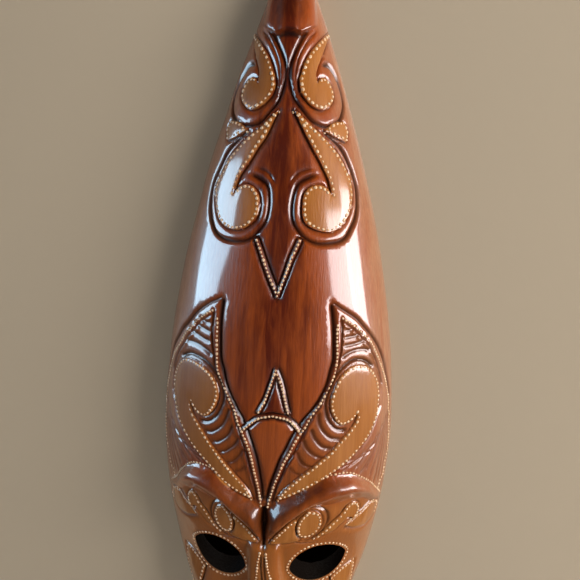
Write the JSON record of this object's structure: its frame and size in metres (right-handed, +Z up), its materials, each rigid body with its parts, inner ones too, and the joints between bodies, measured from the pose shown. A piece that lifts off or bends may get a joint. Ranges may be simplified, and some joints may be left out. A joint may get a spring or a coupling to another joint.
{
  "type": "carved wooden wall mask",
  "caption": "Tall pointed wooden wall mask with scroll carving and a hollow back, hung by a hinged ring on a screwed strap.",
  "frame": {"origin": "the point on the wall where the nail that carries the ring comes out: on the plane of the back rim, straight behind the inside of the ring's top", "axes": "+Z up towards the pointed tip, -Y the way the mask faces, +X to the right of someone who faces the mask"},
  "size_m": [0.15, 0.0586, 0.5076],
  "materials": {
    "stained_wood": "varnished",
    "dot_paint": "lime paint under varnish",
    "strap_steel": "satin",
    "ring_brass": "polished",
    "screw_brass": "satin"
  },
  "bodies": {
    "mask": {"mask_body": "stained_wood", "hanger_strap": "strap_steel", "hanger_screw": "screw_brass"},
    "ring": {"hanger_ring": "ring_brass"}
  },
  "joints": [
    {"name": "ring_swing", "type": "hinge", "parent": "mask", "child": "ring", "pos_m": [0, -0.02144, -0.01], "axis": [1, 0, 0], "range_deg": [-176, 4]}
  ]
}
